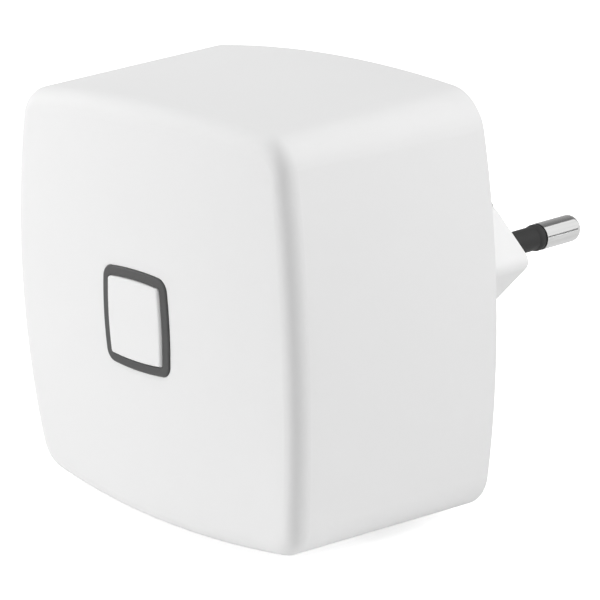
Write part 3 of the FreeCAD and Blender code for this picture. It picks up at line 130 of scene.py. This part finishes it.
# Shader settings of a clear coat over a moulding, and of the clear moulding
COAT = {"Coat Weight": 0.3, "Coat Roughness": 0.12}
CLEAR = {"Transmission Weight": 0.85, "IOR": 1.49}


# Node trees


class Nodes:
    """A short way to write a material's or the world's node tree."""

    def __init__(self, owner):
        owner.use_nodes = True
        self.tree = owner.node_tree
        self.tree.nodes.clear()

    def add(self, kind, settings=None, **inputs):
        node = self.tree.nodes.new(kind)
        for key, setting in (settings or {}).items():
            setattr(node, key, setting)
        for key, given in inputs.items():
            self.put(node.inputs[key.replace("_", " ")], given)
        return node

    def put(self, socket, given):
        if isinstance(given, bpy.types.NodeSocket):
            self.tree.links.new(given, socket)
        elif isinstance(given, (tuple, list)) and len(given) == 3 and socket.type == "RGBA":
            socket.default_value = (*given, 1.0)
        else:
            socket.default_value = given

    def noise(self, place, scale, detail=2):
        made = self.add("ShaderNodeTexNoise", Vector=place, Scale=scale, Detail=detail)
        return made.outputs["Fac"]

    def spread(self, given, low, high, start=0.0, end=1.0):
        """Maps start..end to low..high."""
        made = self.add("ShaderNodeMapRange", Value=given)
        for key, number in (
            ("From Min", start), ("From Max", end), ("To Min", low), ("To Max", high),
        ):
            made.inputs[key].default_value = number
        return made.outputs["Result"]

    def blend(self, amount, first, second):
        made = self.add("ShaderNodeMix", {"data_type": "RGBA"})
        self.put(made.inputs["Factor"], amount)
        self.put(made.inputs["A"], first)
        self.put(made.inputs["B"], second)
        return made.outputs["Result"]

    def place(self, stretch=(1, 1, 1)):
        """Object coordinates in metres, stretched along the axes."""
        where = self.add("ShaderNodeTexCoord").outputs["Object"]
        made = self.add("ShaderNodeMapping", Vector=where)
        made.inputs["Scale"].default_value = stretch
        return made.outputs["Vector"]

    def bump(self, height, depth):
        return self.add("ShaderNodeBump", Height=height, Distance=depth).outputs["Normal"]


def grey(level):
    return (level, level, level)


def material(name):
    made = bpy.data.materials.new(name)
    return made, Nodes(made)


def end(nodes, shader, settings=None):
    for key, setting in (settings or {}).items():
        shader.inputs[key].default_value = setting
    nodes.add("ShaderNodeOutputMaterial", Surface=shader.outputs["BSDF"])


def moulding(
    name, colour, roughness, grain=GRAIN, depth=GRAIN_DEPTH, mottle=0.03, settings=None
):
    """A moulded plastic: fine spark grain, and a faint unevenness of colour and gloss."""
    made, nodes = material(name)
    place = nodes.place()
    cloud = nodes.noise(place, CLOUD, 3)
    darker = tuple(channel * (1 - mottle) for channel in colour)
    glossier, duller = roughness - MOULDING_VARIES, roughness + MOULDING_VARIES
    shader = nodes.add(
        "ShaderNodeBsdfPrincipled",
        Base_Color=nodes.blend(cloud, darker, colour),
        Roughness=nodes.spread(nodes.noise(place, GLOSS), glossier, duller),
        Normal=nodes.bump(nodes.noise(place, grain), depth),
    )
    end(nodes, shader, settings)
    return made


def plating(name, colour, roughness, along=(1, 0.02, 1), streaks=0.12, depth=STREAK_DEPTH):
    """A polished or drawn metal with fine streaks along one axis."""
    made, nodes = material(name)
    place = nodes.place(along)
    streak = nodes.noise(place, STREAK, 3)
    darker = tuple(channel * (1 - streaks) for channel in colour)
    glossier, duller = (roughness * times for times in METAL_TIMES)
    shader = nodes.add(
        "ShaderNodeBsdfPrincipled",
        Base_Color=nodes.blend(streak, darker, colour),
        Metallic=1.0,
        Roughness=nodes.spread(streak, glossier, duller),
        Normal=nodes.bump(streak, depth),
    )
    end(nodes, shader)
    return made


def board(name, colour, weave):
    """Solder mask over woven glass, with the weave just showing."""
    made, nodes = material(name)
    place = nodes.place()
    threads = nodes.add("ShaderNodeTexChecker", Vector=place, Scale=WEAVE)
    shader = nodes.add(
        "ShaderNodeBsdfPrincipled",
        Base_Color=nodes.blend(nodes.spread(threads.outputs["Fac"], 0, WEAVE_SHOWS), colour, weave),
        Roughness=nodes.spread(nodes.noise(place, MASK_GLOSS), *MASK_ROUGHNESS),
        Normal=nodes.bump(nodes.noise(place, MASK_GRAIN), MASK_DEPTH),
    )
    end(nodes, shader)
    return made


def clear(name, tint):
    """A clear moulding for the light guide."""
    made, nodes = material(name)
    place = nodes.place()
    shader = nodes.add(
        "ShaderNodeBsdfPrincipled",
        Base_Color=tint,
        Roughness=nodes.spread(nodes.noise(place, CLEAR_GLOSS), *CLEAR_ROUGHNESS),
        Normal=nodes.bump(nodes.noise(place, CLEAR_GRAIN), CLEAR_DEPTH),
    )
    end(nodes, shader, CLEAR)
    return made


def finishes():
    """One material for each slot of the record."""
    return {
        "white_shell": moulding("white_shell", grey(0.82), 0.58, mottle=0.015),
        "white_button": moulding("white_button", grey(0.83), 0.55, mottle=0.015),
        "smoked_ring": moulding("smoked_ring", grey(0.072), 0.32, depth=1e-6),
        "clear_guide": clear("clear_guide", (0.9, 0.93, 0.95)),
        "plated_pin": plating("plated_pin", (0.9, 0.9, 0.895), 0.11, streaks=0.3, depth=6e-6),
        "black_sleeve": moulding("black_sleeve", grey(0.017), 0.6, grain=3800),
        "spring_brass": plating("spring_brass", (0.78, 0.58, 0.27), 0.3),
        "green_board": board("green_board", (0.012, 0.13, 0.05), (0.03, 0.2, 0.08)),
        "zinc_steel": plating("zinc_steel", (0.58, 0.59, 0.6), 0.28),
        "tinned_steel": plating("tinned_steel", (0.66, 0.66, 0.65), 0.3, (0.03, 1, 1)),
        "black_moulding": moulding("black_moulding", grey(0.02), 0.45),
        "gold_contact": plating("gold_contact", (0.88, 0.66, 0.28), 0.2),
        "chip_black": moulding("chip_black", (0.016, 0.016, 0.018), 0.55),
        "plunger_plastic": moulding("plunger_plastic", (0.42, 0.03, 0.02), 0.45),
        "grey_pad": moulding("grey_pad", (0.2, 0.22, 0.25), 0.85),
        "sink_aluminium": plating("sink_aluminium", (0.7, 0.71, 0.72), 0.33, (1, 1, 0.03)),
        "ferrite": moulding("ferrite", (0.03, 0.03, 0.033), 0.6),
        "yellow_tape": moulding("yellow_tape", (0.75, 0.5, 0.04), 0.3, settings=COAT),
        "capacitor_sleeve": moulding("capacitor_sleeve", (0.012, 0.014, 0.05), 0.3, settings=COAT),
        "resistor_coat": moulding("resistor_coat", (0.06, 0.2, 0.1), 0.5),
        "blue_coat": moulding("blue_coat", (0.02, 0.06, 0.34), 0.3, settings=COAT),
        "film": moulding("film", (0.78, 0.76, 0.66), 0.35),
        "lamp_lens": moulding("lamp_lens", (0.85, 0.83, 0.6), 0.25, settings=COAT),
    }


def dress():
    """Gives each CAD piece the material of its slot."""
    made = finishes()
    for part in frame["record"]["subparts"]:
        for slot in NODES[part["node"]].material_slots:
            slot.material = made[part["material_slot"]]


# Studio


def direction(azimuth, elevation):
    """Azimuth 0 is in front of the object and 90 is on its right."""
    a, e = math.radians(azimuth), math.radians(elevation)
    return Vector((math.sin(a) * math.cos(e), -math.cos(a) * math.cos(e), math.sin(e)))


def towards_middle(thing, azimuth, elevation, distance, middle):
    """Stands a thing off the middle and turns its -Z there."""
    away = direction(azimuth, elevation)
    thing.rotation_mode = "QUATERNION"
    thing.rotation_quaternion = (-away).to_track_quat("-Z", "Y")
    thing.location = middle + away * distance


def link(thing):
    bpy.context.scene.collection.objects.link(thing)
    return thing


def camera():
    """Looks from the place and with the roll and lens that the photograph gives."""
    a, e, roll = (
        math.radians(angle) for angle in (CAMERA_AZIMUTH, CAMERA_ELEVATION, CAMERA_ROLL)
    )
    back = direction(CAMERA_AZIMUTH, CAMERA_ELEVATION)
    level = Vector((math.cos(a), math.sin(a), 0))
    upward = Vector((-math.sin(e) * math.sin(a), math.sin(e) * math.cos(a), math.cos(e)))
    right = math.cos(roll) * level + math.sin(roll) * upward
    up = math.cos(roll) * upward - math.sin(roll) * level
    place = CAMERA_ACROSS * right + CAMERA_UP * up + CAMERA_BACK * back
    place.y += FRONT_APEX_Y
    made = bpy.data.objects.new("camera", bpy.data.cameras.new("camera"))
    made.matrix_world = Matrix.Translation(place * MILLIMETRE) @ Matrix(
        (right, up, back)
    ).transposed().to_4x4()
    made.data.sensor_width = SENSOR_MM
    made.data.lens = FOCAL_PIXELS / IMAGE_PIXELS * SENSOR_MM
    made.data.clip_start, made.data.clip_end = NEAREST, FARTHEST
    bpy.context.scene.camera = link(made)


def lamps():
    """Soft lamps round the middle of the part, left out of the picture and of gloss."""
    lowest, highest = CAD_BOX
    middle = (lowest + highest) / 2
    for name, (azimuth, elevation, distance, width, power) in LAMPS.items():
        made = bpy.data.objects.new(name, bpy.data.lights.new(name, "AREA"))
        made.data.size = width
        made.data.energy = power
        towards_middle(made, azimuth, elevation, distance, middle)
        made.visible_camera = made.visible_glossy = False
        link(made)


def sheet_mesh(name, width, height):
    """A flat rectangle across X and Y, with its middle at the origin."""
    form = bmesh.new()
    x, y = width / 2, height / 2
    corners = ((-x, -y), (x, -y), (x, y), (-x, y))
    form.faces.new([form.verts.new((*corner, 0)) for corner in corners])
    made = bpy.data.meshes.new(name)
    form.to_mesh(made)
    form.free()
    return made


def cards():
    """Glowing cards round the right pin, left out of the picture, soft light and shadows."""
    lowest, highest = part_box("pin_right")
    for name, (azimuth, elevation, distance, width, height, below, above) in CARDS.items():
        paint, nodes = material(name)
        rise = nodes.add("ShaderNodeSeparateXYZ", Vector=nodes.place()).outputs["Y"]
        level = nodes.spread(rise, below, above, -height / 2, height / 2)
        glow = nodes.add("ShaderNodeEmission", Color=grey(1.0), Strength=level)
        nodes.add("ShaderNodeOutputMaterial", Surface=glow.outputs["Emission"])
        made = link(bpy.data.objects.new(name, sheet_mesh(name, width, height)))
        made.data.materials.append(paint)
        towards_middle(made, azimuth, elevation, distance, (lowest + highest) / 2)
        made.visible_camera = made.visible_diffuse = made.visible_shadow = False


def world():
    """White where it is seen, in the picture or in gloss, and a plain level elsewhere."""
    made = bpy.data.worlds.new("studio")
    bpy.context.scene.world = made
    nodes = Nodes(made)
    rays = nodes.add("ShaderNodeLightPath")
    seen = rays.outputs["Is Camera Ray"]
    for ray in ("Is Glossy Ray", "Is Transmission Ray"):
        both = nodes.add("ShaderNodeMath", {"operation": "MAXIMUM"})
        nodes.put(both.inputs[0], seen)
        nodes.put(both.inputs[1], rays.outputs[ray])
        seen = both.outputs["Value"]
    level = nodes.add(
        "ShaderNodeBackground", Color=grey(1.0), Strength=nodes.spread(seen, WORLD_LEVEL, 1.0)
    )
    nodes.add("ShaderNodeOutputWorld", Surface=level.outputs["Background"])


def floor():
    """A pale floor that keeps the shadow, clear from below.

    It is lifted to white for the camera, and glows a little on the underside of the object.
    """
    made = link(bpy.data.objects.new("floor", sheet_mesh("floor", FLOOR_WIDTH, FLOOR_WIDTH)))
    made.location.z = CAD_BOX[0].z
    paint, nodes = material("floor_paper")
    fibre = nodes.noise(nodes.place(), PAPER, 3)
    paper = nodes.add(
        "ShaderNodeBsdfDiffuse",
        Color=nodes.blend(fibre, grey(FLOOR_COLOUR - FLOOR_VARIES), grey(FLOOR_COLOUR)),
    )
    rays = nodes.add("ShaderNodeLightPath").outputs
    radius = nodes.add("ShaderNodeVectorMath", {"operation": "LENGTH"}, Vector=nodes.place())
    edge = nodes.spread(radius.outputs["Value"], FLOOR_LIFT, 1.0, FLOOR_NEAR, FLOOR_FAR)
    seen = nodes.add("ShaderNodeMath", {"operation": "MULTIPLY"})
    nodes.put(seen.inputs[0], rays["Is Camera Ray"])
    nodes.put(seen.inputs[1], edge)
    both = nodes.add("ShaderNodeMath", {"operation": "ADD"})
    nodes.put(both.inputs[0], seen.outputs["Value"])
    nodes.put(both.inputs[1], nodes.spread(rays["Is Diffuse Ray"], 0, FLOOR_GLOW))
    lift = nodes.add("ShaderNodeEmission", Color=grey(1.0), Strength=both.outputs["Value"])
    lit = nodes.add("ShaderNodeAddShader")
    nodes.put(lit.inputs[0], paper.outputs["BSDF"])
    nodes.put(lit.inputs[1], lift.outputs["Emission"])
    sides = nodes.add("ShaderNodeMixShader")
    nodes.put(sides.inputs["Fac"], nodes.add("ShaderNodeNewGeometry").outputs["Backfacing"])
    nodes.put(sides.inputs[1], lit.outputs["Shader"])
    nodes.put(sides.inputs[2], nodes.add("ShaderNodeBsdfTransparent").outputs["BSDF"])
    nodes.add("ShaderNodeOutputMaterial", Surface=sides.outputs["Shader"])
    made.data.materials.append(paint)


dress()
camera()
lamps()
cards()
world()
floor()
bpy.context.scene.view_settings.view_transform = "Standard"
